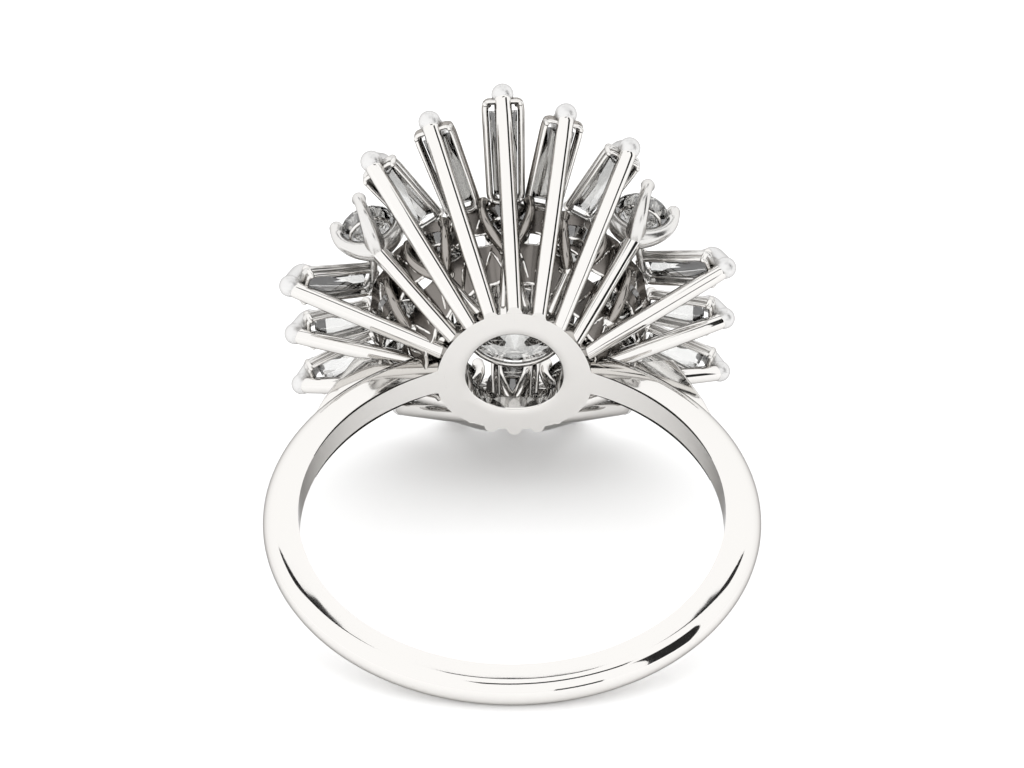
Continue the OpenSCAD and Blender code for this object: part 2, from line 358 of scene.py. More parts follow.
print("a facet at 90 degrees faces", [round(v, 2) for v in tilted(0, 90)])

# %% [markdown]
# A round brilliant has a table, 8 stars, 8 kites and 16 upper halves above its girdle, and 16 lower
# halves and 8 mains below. The rough is a short round bar with a radius of one, and the cut stone
# is brought to its size at the end. The slopes are those that make diamond bright.


# %% Round brilliant
GIRDLE = 0.03
TABLE_HEIGHT = 0.3
KITE_SLOPE, STAR_SLOPE, UPPER_HALF_SLOPE = 34.5, 22, 41
MAIN_SLOPE, LOWER_HALF_SLOPE = 40.75, 42.2
HALF_R, HALF_HEIGHT = 0.981, GIRDLE + 0.005


def brilliant(radius):
    bm = bmesh.new()
    bmesh.ops.create_cone(bm, cap_ends=True, segments=64, radius1=1, radius2=1, depth=2.2)
    grind(bm, Vector((0, 0, GIRDLE + TABLE_HEIGHT)), Vector((0, 0, 1)))
    for k in range(8):
        a = 45 * k
        grind(bm, turn(a, "Z") @ Vector((1, 0, GIRDLE)), tilted(a, KITE_SLOPE))
        grind(bm, turn(a, "Z") @ Vector((1, 0, -GIRDLE)), tilted(a, 180 - MAIN_SLOPE))
    table_corner = 1 - TABLE_HEIGHT / math.tan(math.radians(KITE_SLOPE))
    star_edge = Vector((table_corner, 0, GIRDLE + TABLE_HEIGHT))
    for k in range(8):
        grind(bm, turn(45 * k, "Z") @ star_edge, tilted(45 * k + 22.5, STAR_SLOPE))
    for k in range(16):
        a = 22.5 * k + 11.25
        grind(bm, turn(a, "Z") @ Vector((HALF_R, 0, HALF_HEIGHT)), tilted(a, UPPER_HALF_SLOPE))
        lower = turn(a, "Z") @ Vector((HALF_R, 0, -HALF_HEIGHT))
        grind(bm, lower, tilted(a, 180 - LOWER_HALF_SLOPE))
    bmesh.ops.scale(bm, vec=(radius,) * 3, verts=bm.verts[:])
    return bm


cut = brilliant(1)
print("a brilliant has", len(cut.faces), "facets")
cut.free()

# %% [markdown]
# The largest stone stands in the middle, ten small ones lean round it, and four more stand in the
# outer row between the groups of baguettes. The inner row rises and sinks twice on its way round.
# A seat is a matrix whose z is the stone's own axis, so that the same seat can later carry the
# stone's prongs too.

# %% Set the round stones
CENTRE_Z, CENTRE_R = 12.3, 2.6
INNER_R, OUTER_R = 1.2, 1.15
INNER_ROW_R, INNER_ROW_Z, INNER_ROW_RISE = 4.68, 12, 0.78
INNER_LEAN, OUTER_LEAN = 8, 20
INNER_STEPS = range(10)


def inner_seat(k):
    height = INNER_ROW_Z + INNER_ROW_RISE * math.cos(math.radians(72 * k))
    return crown(36 * k) @ shift(INNER_ROW_R, 0, height) @ turn(INNER_LEAN, "Y")


def outer_seat(i):
    here = shift(STEPS[abs(i)][2], 0, STEPS[abs(i)][3])
    return crown(i * STEP_ANGLE) @ here @ turn(OUTER_LEAN, "Y")


def set_stone(bm, name, node_name, seat, finish):
    bmesh.ops.transform(bm, matrix=seat, verts=bm.verts[:])
    return settle(bm, name, finish, [node_name], crease=0.1)


centre_seat = shift(0, 0, CENTRE_Z)
set_stone(brilliant(CENTRE_R), "cut_centre_stone", "centre_stone", centre_seat, diamond)
for k in INNER_STEPS:
    name = f"inner_round_{k + 1}"
    set_stone(brilliant(INNER_R), f"cut_{name}", name, inner_seat(k), diamond)
for count, i in enumerate(ROUND_STEPS, 1):
    name = f"outer_round_{count}"
    set_stone(brilliant(OUTER_R), f"cut_{name}", name, outer_seat(i), diamond)
print("round stones set:", 1 + len(INNER_STEPS) + len(ROUND_STEPS))

# %% [markdown]
# A tapered baguette is a long stone that widens outwards. Its seat runs from its narrow end up to
# the wire's tip, so each stone gets its own length and slope. The seat is a matrix again: x runs
# along the stone, and z goes up through its table. Each seat could be placed by hand, but this way
# the stones follow the table of wires.

# %% Baguette seats
TIP_OVER_SEAT = 0.35


def seat_line(i):
    """How a baguette's seat runs from its inner end to the wire's tip: slope and length."""
    tip_r, tip_z, seat_r, seat_z, _ = STEPS[abs(i)]
    out, rise = tip_r - seat_r, tip_z + TIP_OVER_SEAT - seat_z
    return math.atan2(rise, out), math.hypot(rise, out)


def baguette_seat(i):
    slope, _ = seat_line(i)
    here = shift(STEPS[abs(i)][2], 0, STEPS[abs(i)][3])
    return crown(i * STEP_ANGLE) @ here @ Matrix.Rotation(-slope, 4, "Y")


print("the highest seat climbs", round(math.degrees(seat_line(0)[0]), 1), "degrees")

# %% [markdown]
# The baguette is step cut: long straight facets in two tiers above the girdle and two below. A
# facet along the stone is easiest to give by three points that lie in it: two along the girdle, and
# a third that is a step away. A step is a pair, how far outwards and how far up, so one that leads
# inwards or down is negative. A tier of the crown has two such pairs: where it starts over the
# girdle, and the step from there.

# %% Long facets
INNER_HALF, OUTER_HALF = 0.5, 0.6
GIRDLE_TOP = 0.12
CROWN_TIERS = [((0, 0), (-0.11, 0.12)), ((-0.05, 0.05), (-0.23, 0.17))]
BELLY, UNDER_BELLY = (-0.14, -0.2), (-0.44, -0.55)


def grind_through(bm, a, b, c, inside):
    """Grinds the plane through three points, and keeps the side that the point inside is on."""
    outward = (b - a).cross(c - a).normalized()
    if outward.dot(inside - a) > 0:
        outward = -outward
    grind(bm, a, outward)


def grind_long_side(bm, side, length, heart):
    inner, outer = Vector((0, side * INNER_HALF, 0)), Vector((length, side * OUTER_HALF, 0))
    lift, along = Vector((0, 0, GIRDLE_TOP)), outer - inner
    grind_through(bm, inner, outer, inner + lift, heart)
    for start, step in CROWN_TIERS:
        low = inner + lift + Vector((0, side * start[0], start[1]))
        grind_through(bm, low, low + along, low + Vector((0, side * step[0], step[1])), heart)
    belly = Vector((0, side * BELLY[0], BELLY[1]))
    under = Vector((0, side * UNDER_BELLY[0], UNDER_BELLY[1]))
    grind_through(bm, inner, outer, inner + belly, heart)
    grind_through(bm, inner + belly, outer + belly, inner + under, heart)


print("long facets on each side:", 3 + len(CROWN_TIERS))

# %% [markdown]
# The rough is a plain block, which gets its table, its long sides, its two ends and its keel. The
# keel climbs towards the outer end, because the long wire passes close under it there.

# %% Tapered baguette
TABLE_TOP = 0.33
KEEL_LOW, KEEL_HIGH, KEEL_END = -0.67, -0.12, 0.45
END_FACET = (0.75, 0.66)


def baguette(length):
    bm = bmesh.new()
    bmesh.ops.create_cube(bm, size=1)
    bmesh.ops.scale(bm, vec=(length, 2, 1.3), verts=bm.verts[:])
    bmesh.ops.translate(bm, vec=(length / 2, 0, -0.2), verts=bm.verts[:])
    heart = Vector((length / 2, 0, 0.05))
    grind(bm, Vector((0, 0, TABLE_TOP)), Vector((0, 0, 1)))
    for side in (-1, 1):
        grind_long_side(bm, side, length, heart)
    for end, out in ((0, -1), (length, 1)):
        edge = Vector((end, 0, 0))
        grind(bm, edge, Vector((out, 0, 0)))
        grind(bm, edge + Vector((0, 0, GIRDLE_TOP)), Vector((out * END_FACET[0], 0, END_FACET[1])))
    keel_in, keel_out = Vector((KEEL_END, 0, KEEL_LOW)), Vector((length - KEEL_END, 0, KEEL_HIGH))
    grind_through(bm, keel_in, keel_out, keel_in + Vector((0, 1, 0)), heart)
    for end, keel in ((0, keel_in), (length, keel_out)):
        grind_through(bm, Vector((end, 0, 0)), Vector((end, 1, 0)), keel, heart)
    return bm


cut = baguette(3)
print("a baguette has", len(cut.faces), "facets")
cut.free()

# %% [markdown]
# Sixteen baguettes make most of the outer row. The three at the top stand over dark metal, and the
# ones at the sides have open air behind them, so these get the grey with painted shade and the grey
# with painted light.

# %% Set the baguettes
TIP_ROOM = 0.75

for count, i in enumerate(BAGUETTE_STEPS, 1):
    # painted shade for the three at the top, painted light for the ones at the sides
    finish = diamond_painted_shade if i in HIGH_STEPS else diamond_painted_light if i in SIDE_STEPS else diamond
    stone = baguette(seat_line(i)[1] - TIP_ROOM)
    set_stone(stone, f"cut_baguette_{count}", f"baguette_{count}", baguette_seat(i), finish)
print("baguettes set:", len(BAGUETTE_STEPS))

# %% [markdown]
# All the wirework is drawn wire, bent and soldered. A wire is given here by its middle line, a few
# points that each carry the wire's radius there. Pliers leave round bends, so one helper rounds the
# corners of such a path. Another works out where each circle of the wire goes: at every point of
# the path, facing half way between the two directions that meet there, and in a few shrinking
# circles at both ends, which make them round.


# %% Bend a path
END_STEPS = 6
MOST_OF_A_SIDE = 0.48


def bend(points, radius, count=7):
    """Rounds the corners of a path. Each point carries its own wire radius."""
    path = [points[0]]
    for before, (corner, thick), after in zip(points, points[1:], points[2:]):
        towards, away = before[0] - corner, after[0] - corner
        reach = min(radius, MOST_OF_A_SIDE * towards.length, MOST_OF_A_SIDE * away.length)
        start = corner + towards.normalized() * reach
        end = corner + away.normalized() * reach
        for n in range(count + 1):
            t = n / count
            path.append(((1 - t) ** 2 * start + 2 * t * (1 - t) * corner + t**2 * end, thick))
    return path + [points[-1]]


def stations(path):
    """Where each circle of a wire goes, which way it faces and how thick the wire is there."""
    directions = [(b[0] - a[0]).normalized() for a, b in zip(path, path[1:])]
    directions = [directions[0]] + directions + [directions[-1]]
    for n in range(1, END_STEPS):
        t = math.radians(90 - 90 * n / END_STEPS)
        point, thick = path[0]
        yield point - directions[0] * thick * math.sin(t), directions[0], thick * math.cos(t)
    for (point, thick), before, after in zip(path, directions, directions[1:]):
        yield point, (before + after).normalized(), thick
    for n in range(1, END_STEPS):
        t = math.radians(90 * n / END_STEPS)
        point, thick = path[-1]
        yield point + directions[-1] * thick * math.sin(t), directions[-1], thick * math.cos(t)


corner_path = [(Vector(at), 0.3) for at in ((0, 0, 0), (0, 0, 2), (2, 0, 2))]
print("a path with one corner has", len(bend(corner_path, 0.5)), "points once it is bent")

# %% [markdown]
# Now the wire itself. A curve with a bevel would be quick, but it has to be made a mesh afterwards,
# and it can pinch at a tight bend. So a circle is extruded from station to station, and it is only
# turned as far as the path turns, so that it never twists.


# %% Draw a wire
def extrude_ring(bm, ring):
    """Extrudes a closed ring of edges, and returns its new corners and its new ring."""
    out = bmesh.ops.extrude_edge_only(bm, edges=ring)["geom"]
    corners = [g for g in out if isinstance(g, bmesh.types.BMVert)]
    edges = [g for g in out if isinstance(g, bmesh.types.BMEdge)]
    return corners, [e for e in edges if all(v in corners for v in e.verts)]


def draw_wire(bm, path, sides=24):
    ring = None
    for point, direction, thick in stations(path):
        if ring is None:
            spin = direction.to_track_quat("Z", "Y")
        else:
            spin = last_direction.rotation_difference(direction) @ spin
        here = Matrix.Translation(point) @ spin.to_matrix().to_4x4() @ Matrix.Scale(thick, 4)
        if ring is None:
            made = bmesh.ops.create_circle(bm, segments=sides, radius=1, matrix=here)
            ring = list(dict.fromkeys(e for v in made["verts"] for e in v.link_edges))
            bmesh.ops.contextual_create(bm, geom=ring)
        else:
            corners, ring = extrude_ring(bm, ring)
            bmesh.ops.transform(bm, matrix=here @ last_place.inverted(), verts=corners)
        last_place, last_direction = here, direction
    bmesh.ops.contextual_create(bm, geom=ring)


trial = bmesh.new()
draw_wire(trial, [(Vector((0, 0, 0)), 0.3), (Vector((0, 0, 2)), 0.3)])
print("a straight piece of wire has", len(trial.faces), "faces")
trial.free()

# %% [markdown]
# Twenty long wires stand round the base plate like the ribs of a basket. They are straight, a
# little thicker in the middle, and the four that carry a round stone swell into the root of its
# fork. The finger hole was ground after soldering, so each foot is cut flush with it, by the same
# grinding helper that cuts the stones. Wires that share a finish are gathered into one piece.

# %% Long wires
WIRE_R, WIRE_FOOT_R, WIRE_BELLY_R, WIRE_TOP_R = 0.37, 0.34, 0.385, 0.36
FORK_ROOT_R = 0.47
FOOT_DEPTH, TOP_RUN, ELBOW_REACH = 0.6, 0.9, 0.12
BELLY_SHARE, ROOT_SHARE = 0.3, 0.75


def gather(parts):
    """Joins several finished meshes into one."""
    whole = bmesh.new()
    for part in parts:
        scrap = bpy.data.meshes.new("scrap")
        part.to_mesh(scrap)
        part.free()
        whole.from_mesh(scrap)
        bpy.data.meshes.remove(scrap)
    return whole


def cut_flush(bm, foot_at):
    """Grinds what stands inside the finger hole, near one foot."""
    out = Vector((foot_at.x, 0, foot_at.z)).normalized()
    grind(bm, out * FINGER_R, -out)


def long_wire(i):
    bm = bmesh.new()
    foot_at, top = foot(i * STEP_ANGLE), tip(i)
    along = (top - foot_at).normalized()
    belly = foot_at.lerp(top, BELLY_SHARE)
    path = [(foot_at - along * FOOT_DEPTH, WIRE_FOOT_R), (belly, WIRE_BELLY_R)]
    if i in ROUND_STEPS:
        path += [(foot_at.lerp(top, ROOT_SHARE), WIRE_R), (top, FORK_ROOT_R)]
    else:
        path += [(top - along * TOP_RUN, WIRE_R), (top - along * ELBOW_REACH, WIRE_TOP_R)]
    draw_wire(bm, path)
    cut_flush(bm, foot_at)
    return bm


settle_metal(gather([long_wire(i) for i in ALL_STEPS]), "long_wires", polished_gold)

# %% [markdown]
# The other sixteen wires fold over the outer end of a baguette, where their softened end is its
# claw. On the real ring the fold is hammered into a thick elbow that no buff reaches well. Here it
# is a ball where the wire and the claw meet, with the claw bent over the stone's table.

# %% Elbows and claws
ELBOW_R, FOLD_R, FOLD_BEND = 0.47, 0.43, 0.3
# distance back from the wire's tip, height over the seat, thickness
CLAW = [(0.55, 0.66, 0.38), (0.98, 0.63, 0.29)]


def elbow(i):
    bm = bmesh.new()
    seat, run = baguette_seat(i), seat_line(i)[1]
    wire_way = (tip(i) - foot(i * STEP_ANGLE)).normalized()
    ball_at = tip(i) + wire_way * ELBOW_REACH + seat.to_3x3() @ Vector((0, 0, ELBOW_REACH))
    claw = [(seat @ Vector((run - off, 0, height)), thick) for off, height, thick in CLAW]
    draw_wire(bm, bend([(ball_at, FOLD_R)] + claw, FOLD_BEND))
    ball = bmesh.ops.create_icosphere(bm, subdivisions=4, radius=ELBOW_R)
    bmesh.ops.translate(bm, vec=ball_at, verts=ball["verts"])
    return bm


settle_metal(gather([elbow(i) for i in BAGUETTE_STEPS]), "elbows", satin_gold)

# %% [markdown]
# A baguette sits between two thin wire rails, one over the other. Each rail starts at the elbow,
# runs along the stone, turns two soft corners at its narrow end, and comes back. Short posts join
# the rails at the corners and end in small beads, which hold the stone down. The lower rail and
# the posts are one piece here, because they share a finish.

# %% Seat frames
RAIL_OUT = 0.17
FRAME_START, FRAME_END = -0.3, 0.36
RAIL_CORNER, RAIL_TUCK, RAIL_BEND = 0.35, 0.04, 0.4
# height and thickness
LOW_RAIL, HIGH_RAIL = (-0.42, 0.09), (-0.05, 0.15)
FRAME_NARROW, FRAME_WIDE = INNER_HALF + RAIL_OUT, OUTER_HALF + RAIL_OUT
POST_LOW, POST_HIGH, BEAD_Z, BEAD_IN = -0.44, -0.05, 0.12, 0.08
POST_LOW_R, POST_HIGH_R = 0.12, 0.14
# distance along from the frame's end, distance in from its side, radius of the bead
OUTER_POST, INNER_POST = (-0.12, 0.02, 0.19), (0.1, 0.05, 0.24)


def rail(bm, i, level, thick):
    end = seat_line(i)[1] - FRAME_END
    loop = [
        (end, 0), (end, -FRAME_WIDE + RAIL_TUCK), (end - RAIL_CORNER, -FRAME_WIDE),
        (FRAME_START, -FRAME_NARROW), (FRAME_START, FRAME_NARROW),
        (end - RAIL_CORNER, FRAME_WIDE), (end, FRAME_WIDE - RAIL_TUCK), (end, 0),
    ]
    draw_wire(bm, bend([(Vector((x, y, level)), thick) for x, y in loop], RAIL_BEND, 5), 14)


def seat_frame(i):
    bm = bmesh.new()
    rail(bm, i, *LOW_RAIL)
    end = seat_line(i)[1] - FRAME_END
    corners = [
        (end + OUTER_POST[0], FRAME_WIDE - OUTER_POST[1], OUTER_POST[2]),
        (FRAME_START + INNER_POST[0], FRAME_NARROW - INNER_POST[1], INNER_POST[2]),
    ]
    for side in (-1, 1):
        for x, y, bead in corners:
            post = [
                (Vector((x, side * y, POST_LOW)), POST_LOW_R),
                (Vector((x, side * y, POST_HIGH)), POST_HIGH_R),
                (Vector((x, side * (y - BEAD_IN), BEAD_Z)), bead),
            ]
            draw_wire(bm, post, 14)
    bmesh.ops.transform(bm, matrix=baguette_seat(i), verts=bm.verts[:])
    return bm


settle_metal(gather([seat_frame(i) for i in BAGUETTE_STEPS]), "seat_frames", polished_gold)

# %% [markdown]
# The upper rail is the broad one that shows beside each stone. The highest three stand in front of
# the dark inside of the crown, so they take a darker colour, a painted reflection of that dark
# inside. The others are soft.


# %% Upper rails
def upper_rail(i):
    bm = bmesh.new()
    rail(bm, i, *HIGH_RAIL)
    bmesh.ops.transform(bm, matrix=baguette_seat(i), verts=bm.verts[:])
    return bm


LOWER_STEPS = [i for i in BAGUETTE_STEPS if i not in HIGH_STEPS]
# painted reflection: the highest rails take a darker colour for the dark crown inside
settle_metal(gather([upper_rail(i) for i in HIGH_STEPS]), "upper_rails_high", painted_shade_gold)
settle_metal(gather([upper_rail(i) for i in LOWER_STEPS]), "upper_rails", soft_gold)

# %% [markdown]
# Between the two rails there is a thin wall. It gets the darkest colour, which is painted shade, so
# it stays darker than they are, apart from the seats at the sides, which lie open and keep the soft
# finish. It is a flat outline with its corners rounded, raised to a band and thickened to a sheet.

# %% Seat walls
WALL_LOW, WALL_RISE, WALL_THICKNESS, WALL_CORNER = -0.4, 0.36, 0.07, 0.22


def seat_wall(i):
    bm = bmesh.new()
    end = seat_line(i)[1] - FRAME_END
    corners = [
        (end, -FRAME_WIDE), (FRAME_START, -FRAME_NARROW),
        (FRAME_START, FRAME_NARROW), (end, FRAME_WIDE),
    ]
    outline = [bm.verts.new((x, y, WALL_LOW)) for x, y in corners]
    for pair in zip(outline, outline[1:] + outline[:1]):
        bm.edges.new(pair)
    bmesh.ops.bevel(
        bm, geom=outline, offset=WALL_CORNER, affect="VERTICES",
        segments=5, profile=0.5, material=-1,
    )
    raised, _ = extrude_ring(bm, bm.edges[:])
    bmesh.ops.translate(bm, vec=(0, 0, WALL_RISE), verts=raised)
    bmesh.ops.recalc_face_normals(bm, faces=bm.faces[:])
    bmesh.ops.solidify(bm, geom=bm.faces[:], thickness=WALL_THICKNESS)
    bmesh.ops.transform(bm, matrix=baguette_seat(i), verts=bm.verts[:])
    return bm


OTHER_STEPS = [i for i in BAGUETTE_STEPS if i not in SIDE_STEPS]
# painted shade: the walls deep in the crown get the darkest colour
settle_metal(gather([seat_wall(i) for i in OTHER_STEPS]), "seat_walls", shaded_gold)
settle_metal(gather([seat_wall(i) for i in SIDE_STEPS]), "side_seat_walls", soft_gold)

# %% [markdown]
# A prong grows out of the root under a round stone, bows outwards past its girdle like a tulip
# petal, and ends in a ball that holds the stone down. Its middle line is a curve with four handles,
# from the root to just over the girdle, and its thickness falls off quickly at first. The same
# helper makes the forks of the outer row and the baskets of the inner row.

# %% Prong
PRONG_ROOM, PRONG_STATIONS, PRONG_TAPER = 0.25, 12, 1.6
ROOT_OUT, ROOT_DOWN = 0.7, 0.85
BOW, BOW_Z, RIM_Z = 0.08, -0.55, 0.15
BALL_IN, BALL_Z, BALL_EXTRA = 0.08, 0.36, 0.06
PAVILION_DEPTH = 0.445


def prong_path(rim, root_z, root_r, prong_r):
    handles = [
        Vector((0, 0, root_z)), Vector((rim * ROOT_OUT, 0, root_z * ROOT_DOWN)),
        Vector((rim + BOW, 0, BOW_Z)), Vector((rim, 0, RIM_Z)),
    ]
    for n in range(PRONG_STATIONS + 1):
        t = n / PRONG_STATIONS
        weights = ((1 - t) ** 3, 3 * t * (1 - t) ** 2, 3 * t**2 * (1 - t), t**3)
        point = sum((w * h for w, h in zip(weights, handles)), Vector())
        yield point, prong_r + (root_r - prong_r) * (1 - t) ** PRONG_TAPER
    yield Vector((rim - BALL_IN, 0, BALL_Z)), prong_r + BALL_EXTRA


def prongs(bm, seat, radius, angles, root_z, root_r, prong_r, sides=16):
    for a in angles:
        path = prong_path(radius + PRONG_ROOM, root_z, root_r, prong_r)
        draw_wire(bm, [(seat @ turn(a, "Z") @ point, thick) for point, thick in path], sides)


def stone_depth(radius):
    """How far the point under a round stone reaches below its girdle, with its sign."""
    return -PAVILION_DEPTH * 2 * radius


print("an inner stone reaches", round(stone_depth(INNER_R), 2), "mm below its girdle")

# %% [markdown]
# The four round stones of the outer row stand in forks with four prongs. A short wire links each
# fork's root to the corner of the nearest seat frame in the group at the side, which stiffens it.
# Every fork could be drawn with its own numbers, but one helper and the seats of the stones place
# all four.

# %% Forks
FORK_GAP = 0.48
FORK_R, FORK_PRONG_R = 0.5, 0.25
LINK_R, LINK_BEND = 0.17, 0.6
LINK_SAG = Vector((0, 0, -0.15))
LINK_CORNER = Vector((-0.25, 0, -0.27))

bm = bmesh.new()
for i in ROUND_STEPS:
    root = stone_depth(OUTER_R) - FORK_GAP
    prongs(bm, outer_seat(i), OUTER_R, (45, 135, 225, 315), root, FORK_R, FORK_PRONG_R)
    beside = min(SIDE_STEPS, key=lambda step: abs(step - i))
    corner = baguette_seat(beside) @ LINK_CORNER
    middle = (tip(i) + corner) / 2 + LINK_SAG
    link = [(tip(i), LINK_R), (middle, LINK_R), (corner, LINK_R)]
    draw_wire(bm, bend(link, LINK_BEND), 12)
settle_metal(bm, "forks", soft_gold)

# %% [markdown]
# Each stone of the inner row has a basket of four prongs. The two on its outer side are hidden deep
# in the crown and get a darker colour, which is painted shade. The two on its inner side are broad
# bright petals, which show through the window of the base plate, and two legs carry their root down
# to the plate. The legs start a little inside the plate, so no end shows.

# %% Inner baskets
BASKET_GAP = 0.46
INNER_ROOT = stone_depth(INNER_R) - BASKET_GAP
# radius at the root and radius of the prong
BASKET_WIRE, PETAL_WIRE = (0.3, 0.19), (0.36, 0.22)
LEG_R, LEG_SPREAD, LEG_SHARE = 0.25, 9, 0.9
LEG_START = Vector((0, 0, 0.3))


def inner_basket(k):
    bm = bmesh.new()
    prongs(bm, inner_seat(k), INNER_R, (45, 315), INNER_ROOT, *BASKET_WIRE, 12)
    return bm


def inner_petals(k):
    bm = bmesh.new()
    prongs(bm, inner_seat(k), INNER_R, (150, 210), INNER_ROOT, *PETAL_WIRE)
    root = inner_seat(k) @ Vector((0, 0, INNER_ROOT))
    for side in (-1, 1):
        start = foot(36 * k + LEG_SPREAD * side, LEG_SHARE) + LEG_START
        draw_wire(bm, [(start, LEG_R), (root, LEG_R)], 14)
    return bm


# painted shade: the prongs hidden in the crown get a darker colour
settle_metal(gather([inner_basket(k) for k in INNER_STEPS]), "inner_baskets", painted_shade_gold)
settle_metal(gather([inner_petals(k) for k in INNER_STEPS]), "inner_petals", polished_gold)

# %% [markdown]
# A gallery is the sheet that closes a crown between its rows. There are two here: one under the
# inner row, and one from there to the inner ends of the outer row. Both are gently fluted, which
# breaks up what they mirror, and both follow the rise and fall of their rows. First comes the line
# of each edge, as a ring of points.

# %% Gallery lines
FLUTES, FLUTE_DEPTH, BEARER_FLUTE_DEPTH = 20, 0.07, 0.06
OUTER_ROW_R, OUTER_ROW_SHRINK = 6.05, 0.35
OUTER_ROW_Z, OUTER_ROW_RISE = 13.25, 0.45


def gallery_line(radius, below):
    """A fluted ring that rises and sinks with the inner row, so far below its girdles."""
    line = []
    for a in range(0, 360, 3):
        wave = math.cos(math.radians(2 * a))
        flute = FLUTE_DEPTH * math.cos(math.radians(FLUTES * a))
        height = INNER_ROW_Z + INNER_ROW_RISE * wave - below
        line.append(in_crown(a, radius + flute, height))
    return line


def bearer_line(inside, below, sag):
    """A fluted ring along the inner ends of the outer row. It sags to the wires at its sides."""
    line = []
    for a in range(0, 360, 3):
        wave = math.cos(math.radians(2 * a))
        flute = BEARER_FLUTE_DEPTH * math.cos(math.radians(FLUTES * a))
        height = OUTER_ROW_Z + OUTER_ROW_RISE * wave - below - sag * (1 - max(wave, 0))
        radius = OUTER_ROW_R - OUTER_ROW_SHRINK * wave - inside + flute
        line.append(in_crown(a, radius, height))
    return line


GALLERIES = [
    (gallery_line(3.7, 2.6), gallery_line(4.55, 1.15)),
    (bearer_line(0.95, 1.35, 1.05), bearer_line(0.35, 0.4, 0)),
]
print("galleries:", len(GALLERIES), "with", len(GALLERIES[0][0]), "points along each edge")

# %% [markdown]
# An extrusion makes the sheet between the two edges, and a second wall gives it its thickness. It
# could be a spin, but the fluted edges aren't round. The edges are thin polished wires, and the
# sheets get the darkest colour, which is painted shade.

# %% Gallery sheets and edges
SHEET_THICKNESS = 0.1
GALLERY_EDGE_R = 0.085


def ring_wire(bm, points, thick, sides=12):
    """A wire bent into a closed ring."""
    draw_wire(bm, [(p, thick) for p in points + points[:1]], sides)


def ribbon(low, high, thickness):
    """A strip of sheet bent into a ring, from its lower edge to its upper edge."""
    bm = bmesh.new()
    verts = [bm.verts.new(point) for point in low]
    edges = [bm.edges.new(pair) for pair in zip(verts, verts[1:] + verts[:1])]
    raised, _ = extrude_ring(bm, edges)
    for v in raised:
        partner = next(e.other_vert(v) for e in v.link_edges if e.other_vert(v) in verts)
        v.co = high[verts.index(partner)]
    bmesh.ops.recalc_face_normals(bm, faces=bm.faces[:])
    bmesh.ops.solidify(bm, geom=bm.faces[:], thickness=thickness)
    return bm


sheets = gather([ribbon(low, high, SHEET_THICKNESS) for low, high in GALLERIES])
# painted shade: the sheets inside the crown get the darkest colour
settle_metal(sheets, "gallery_sheets", shaded_gold)
bm = bmesh.new()
for low, high in GALLERIES:
    ring_wire(bm, low, GALLERY_EDGE_R, 10)
    ring_wire(bm, high, GALLERY_EDGE_R, 10)
settle_metal(bm, "gallery_edges", polished_gold)

# %% [markdown]
# Fine wires run in a zigzag over each gallery, from its lower edge to its upper edge, and give the
# bright scrawl that shows between the long wires. Each one bows a little outwards, off the sheet.
# They could be one long bent wire, but short ones keep their joints at the edges, where a goldsmith
# solders them.

# %% Gallery struts
STRUT_EVERY, STRUT_LEAN = 5, 3
STRUT_BOW, STRUT_BEND = 0.22, 0.6
STRUT_R, STRUT_MIDDLE_R = 0.05, 0.06

bm = bmesh.new()
for low, high in GALLERIES:
    for n in range(0, len(low), STRUT_EVERY):
        for lean in (-STRUT_LEAN, STRUT_LEAN):
            start, end = low[n], high[(n + lean) % len(low)]
            middle = (start + end) / 2
            outwards = Vector((middle.x, middle.y, 0)).normalized() * STRUT_BOW
            strut = [(start, STRUT_R), (middle + outwards, STRUT_MIDDLE_R), (end, STRUT_R)]
            draw_wire(bm, bend(strut, STRUT_BEND, 4), 8)
settle_metal(bm, "gallery_struts", polished_gold)

# %% [markdown]
# Under each small round stone a thin wire ring, the collar, ties its prongs together. A torus would
# do, but the ring wire is at hand, and the stone's own seat puts it in its place.

# %% Collars
COLLAR_Z = -0.5
# radius of the collar and thickness of its wire
INNER_COLLAR, OUTER_COLLAR = (0.92, 0.075), (0.9, 0.08)


def collar(bm, seat, radius, thick):
    start = Vector((radius, 0, COLLAR_Z))
    ring_wire(bm, [seat @ turn(a, "Z") @ start for a in range(0, 360, 12)], thick, 10)


bm = bmesh.new()
for k in INNER_STEPS:
    collar(bm, inner_seat(k), *INNER_COLLAR)
for i in ROUND_STEPS:
    collar(bm, outer_seat(i), *OUTER_COLLAR)
settle_metal(bm, "collars", polished_gold)

# %% [markdown]
# The centre stone stands in a basket of its own: ten prongs that rise from the base plate and bend
# in over its crown, and one ring below its girdle. Through the window in the base plate this is the
# brightest thing to be seen, so all of it is polished.

# %% Centre basket
CENTRE_PRONG_R, CENTRE_BALL_R, CENTRE_BEND = 0.2, 0.26, 0.3
CENTRE_RING_R, CENTRE_RING_DROP, CENTRE_RING_THICK = 2.25, 0.75, 0.12
# radius, height and thickness of a prong at its foot, at its bend and at its ball
CENTRE_PRONG = [
    (2.6, FINGER_R + 0.5, CENTRE_PRONG_R),
    (2.94, CENTRE_Z + 0.25, CENTRE_PRONG_R),
    (2.72, CENTRE_Z + 0.5, CENTRE_BALL_R),
]

bm = bmesh.new()
for j in range(10):
    side = turn(36 * j, "Z")
    path = [(side @ Vector((radius, 0, height)), thick) for radius, height, thick in CENTRE_PRONG]
    draw_wire(bm, bend(path, CENTRE_BEND, 4), 16)
low_point = Vector((CENTRE_RING_R, 0, CENTRE_Z - CENTRE_RING_DROP))
ring_wire(bm, [turn(a, "Z") @ low_point for a in range(0, 360, 6)], CENTRE_RING_THICK)
settle_metal(bm, "centre_basket", polished_gold)

